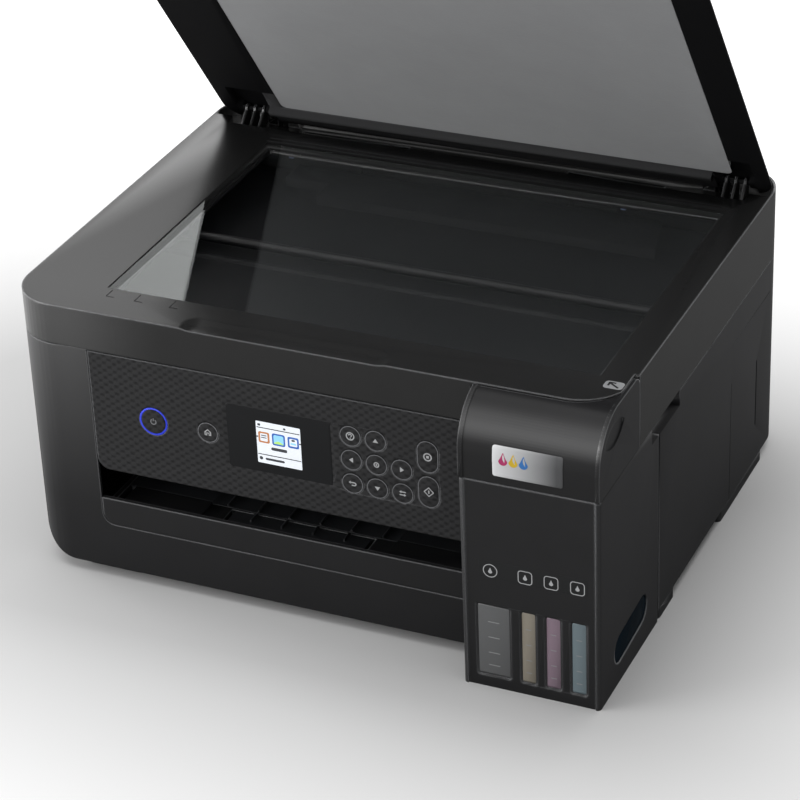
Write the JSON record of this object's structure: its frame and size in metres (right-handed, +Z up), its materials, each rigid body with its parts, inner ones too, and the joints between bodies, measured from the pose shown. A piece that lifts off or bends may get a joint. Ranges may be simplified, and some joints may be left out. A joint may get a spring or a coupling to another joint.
{
  "type": "inkjet printer",
  "caption": "A4 inkjet printer with refillable ink tanks at the front right, control panel, output tray, liftable scanner unit and scanner lid shown open",
  "frame": {"origin": "middle of the footprint, on the table", "axes": "+X to the printer's right as seen from the front, +Y from the front to the back, +Z up"},
  "size_m": [0.375, 0.347, 0.406],
  "materials": {
    "case": "fine-grained black",
    "deck": "smooth black",
    "panel": "embossed black",
    "lens": "polished",
    "screen": "lit",
    "ring": "lit blue",
    "keys": "smooth black",
    "window": "clear",
    "ink_black": "clear tank with black ink",
    "ink_yellow": "clear tank with yellow ink",
    "ink_magenta": "clear tank with magenta ink",
    "ink_cyan": "clear tank with cyan ink",
    "cap_yellow": "smooth",
    "cap_magenta": "smooth",
    "cap_cyan": "smooth",
    "inner_grey": "moulded",
    "scan_tray": "moulded",
    "glass": "clear",
    "pad": "grey film on foam",
    "steel": "plated",
    "rubber": "matt",
    "nylon": "moulded",
    "brass": "turned",
    "board": "solder mask",
    "inner_black": "moulded"
  },
  "bodies": {
    "printer": {"lower_case": "case", "main_housing": "case", "control_panel": "panel", "display_lens": "lens", "display": "screen", "power_ring": "ring", "tank_housing": "case", "side_window": "window", "black_tank": "ink_black", "yellow_tank": "ink_yellow", "magenta_tank": "ink_magenta", "cyan_tank": "ink_cyan", "ink_tubes": "inner_grey", "platen": "inner_black", "rear_cover": "case", "feed_frame": "inner_grey", "power_supply": "inner_grey", "main_board": "board", "ac_inlet": "inner_black", "carriage_rail": "steel", "carriage_belt": "rubber", "drive_motors": "steel", "capping_station": "inner_grey"},
    "scanner_unit": {"scanner_frame": "deck", "scanner_base": "scan_tray", "scan_glass": "glass", "scan_rail": "steel"},
    "scan_bar": {"scan_head": "inner_black"},
    "lid": {"lid_shell": "case", "lid_pad": "pad"},
    "filler_cover": {"tank_cover": "case"},
    "cap_1": {"black_cap": "keys"},
    "cap_2": {"yellow_cap": "cap_yellow"},
    "cap_3": {"magenta_cap": "cap_magenta"},
    "cap_4": {"cyan_cap": "cap_cyan"},
    "carriage": {"print_carriage": "inner_black", "print_head": "inner_grey"},
    "feed": {"feed_roller": "steel"},
    "idler": {"idler_gear": "nylon"},
    "eject": {"eject_roller": "steel"},
    "pinion": {"motor_pinion": "brass"},
    "pickup": {"pickup_roller": "rubber"},
    "tray_first": {"output_tray": "inner_grey"},
    "tray_second": {"tray_extension": "case"},
    "stopper": {"tray_stopper": "inner_grey"},
    "support": {"paper_support": "case"},
    "guide_1": {"left_guide": "inner_grey"},
    "guide_2": {"right_guide": "inner_grey"},
    "button_power": {"power_key": "keys"},
    "button_home": {"home_key": "keys"},
    "button_help": {"help_key": "keys"},
    "button_up": {"up_key": "keys"},
    "button_left": {"left_key": "keys"},
    "button_ok": {"ok_key": "keys"},
    "button_right": {"right_key": "keys"},
    "button_back": {"back_key": "keys"},
    "button_down": {"down_key": "keys"},
    "button_swap": {"swap_key": "keys"},
    "button_stop": {"stop_key": "keys"},
    "button_start": {"start_key": "keys"}
  },
  "joints": [
    {"name": "scanner_lift", "type": "hinge", "parent": "printer", "child": "scanner_unit", "pos_m": [0, 0.1475, 0.173], "axis": [1, 0, 0], "range_deg": [-28, 0]},
    {"name": "lid_hinge", "type": "hinge", "parent": "scanner_unit", "child": "lid", "pos_m": [0, 0.1329, 0.1815], "axis": [1, 0, 0], "range_deg": [-20, 53.3]},
    {"name": "cover_hinge", "type": "hinge", "parent": "scanner_unit", "child": "filler_cover", "pos_m": [0.177, -0.1162, 0.174], "axis": [1, 0, 0], "range_deg": [-92, 0]},
    {"name": "scan_slide", "type": "slide", "parent": "scanner_unit", "child": "scan_bar", "axis": [1, 0, 0], "range_m": [0, 0.3]},
    {"name": "cap_hinge_1", "type": "hinge", "parent": "printer", "child": "cap_1", "pos_m": [0.1243, -0.1425, 0.138], "axis": [1, 0, 0], "range_deg": [-80, 0]},
    {"name": "cap_hinge_2", "type": "hinge", "parent": "printer", "child": "cap_2", "pos_m": [0.1447, -0.1425, 0.138], "axis": [1, 0, 0], "range_deg": [-80, 0]},
    {"name": "cap_hinge_3", "type": "hinge", "parent": "printer", "child": "cap_3", "pos_m": [0.1596, -0.1425, 0.138], "axis": [1, 0, 0], "range_deg": [-80, 0]},
    {"name": "cap_hinge_4", "type": "hinge", "parent": "printer", "child": "cap_4", "pos_m": [0.1745, -0.1425, 0.138], "axis": [1, 0, 0], "range_deg": [-80, 0]},
    {"name": "carriage_slide", "type": "slide", "parent": "printer", "child": "carriage", "axis": [1, 0, 0], "range_m": [-0.225, 0]},
    {"name": "feed_spin", "type": "hinge", "parent": "printer", "child": "feed", "pos_m": [0, 0.0585, 0.06], "axis": [1, 0, 0], "continuous": true},
    {"name": "idler_spin", "type": "hinge", "parent": "printer", "child": "idler", "pos_m": [-0.1565, 0.0285, 0.06], "axis": [1, 0, 0], "continuous": true},
    {"name": "eject_spin", "type": "hinge", "parent": "printer", "child": "eject", "pos_m": [0, -0.0015, 0.06], "axis": [1, 0, 0], "continuous": true},
    {"name": "pinion_spin", "type": "hinge", "parent": "printer", "child": "pinion", "pos_m": [-0.1565, 0.08218, 0.05138], "axis": [1, 0, 0], "continuous": true},
    {"name": "pickup_spin", "type": "hinge", "parent": "printer", "child": "pickup", "pos_m": [0, 0.125, 0.10182], "axis": [1, 0, 0], "continuous": true},
    {"name": "tray_slide", "type": "slide", "parent": "printer", "child": "tray_first", "axis": [0, -1, 0], "range_m": [0, 0.1]},
    {"name": "extension_slide", "type": "slide", "parent": "tray_first", "child": "tray_second", "axis": [0, -1, 0], "range_m": [0, 0.1]},
    {"name": "stopper_hinge", "type": "hinge", "parent": "tray_second", "child": "stopper", "pos_m": [-0.0148, -0.1413, 0.0469], "axis": [1, 0, 0], "range_deg": [0, 75]},
    {"name": "support_slide", "type": "slide", "parent": "printer", "child": "support", "axis": [0, 0, 1], "range_m": [0, 0.105]},
    {"name": "guide_slide", "type": "slide", "parent": "printer", "child": "guide_1", "axis": [1, 0, 0], "range_m": [0, 0.042]},
    {"name": "guide_slide_2", "type": "slide", "parent": "printer", "child": "guide_2", "axis": [1, 0, 0], "range_m": [-0.042, 0]},
    {"name": "power_press", "type": "slide", "parent": "printer", "child": "button_power", "axis": [0, 1, 0], "range_m": [0, 0.0008], "stiffness_N_per_m": 500},
    {"name": "home_press", "type": "slide", "parent": "printer", "child": "button_home", "axis": [0, 1, 0], "range_m": [0, 0.0008], "stiffness_N_per_m": 500},
    {"name": "help_press", "type": "slide", "parent": "printer", "child": "button_help", "axis": [0, 1, 0], "range_m": [0, 0.0008], "stiffness_N_per_m": 500},
    {"name": "up_press", "type": "slide", "parent": "printer", "child": "button_up", "axis": [0, 1, 0], "range_m": [0, 0.0008], "stiffness_N_per_m": 500},
    {"name": "left_press", "type": "slide", "parent": "printer", "child": "button_left", "axis": [0, 1, 0], "range_m": [0, 0.0008], "stiffness_N_per_m": 500},
    {"name": "ok_press", "type": "slide", "parent": "printer", "child": "button_ok", "axis": [0, 1, 0], "range_m": [0, 0.0008], "stiffness_N_per_m": 500},
    {"name": "right_press", "type": "slide", "parent": "printer", "child": "button_right", "axis": [0, 1, 0], "range_m": [0, 0.0008], "stiffness_N_per_m": 500},
    {"name": "back_press", "type": "slide", "parent": "printer", "child": "button_back", "axis": [0, 1, 0], "range_m": [0, 0.0008], "stiffness_N_per_m": 500},
    {"name": "down_press", "type": "slide", "parent": "printer", "child": "button_down", "axis": [0, 1, 0], "range_m": [0, 0.0008], "stiffness_N_per_m": 500},
    {"name": "swap_press", "type": "slide", "parent": "printer", "child": "button_swap", "axis": [0, 1, 0], "range_m": [0, 0.0008], "stiffness_N_per_m": 500},
    {"name": "stop_press", "type": "slide", "parent": "printer", "child": "button_stop", "axis": [0, 1, 0], "range_m": [0, 0.0008], "stiffness_N_per_m": 500},
    {"name": "start_press", "type": "slide", "parent": "printer", "child": "button_start", "axis": [0, 1, 0], "range_m": [0, 0.0008], "stiffness_N_per_m": 500}
  ],
  "couplings": [
    {"joint": "idler_spin", "follows": "feed_spin", "ratio": -1.5},
    {"joint": "eject_spin", "follows": "feed_spin", "ratio": 1},
    {"joint": "pinion_spin", "follows": "feed_spin", "ratio": -2.5},
    {"joint": "guide_slide_2", "follows": "guide_slide", "ratio": -1}
  ]
}
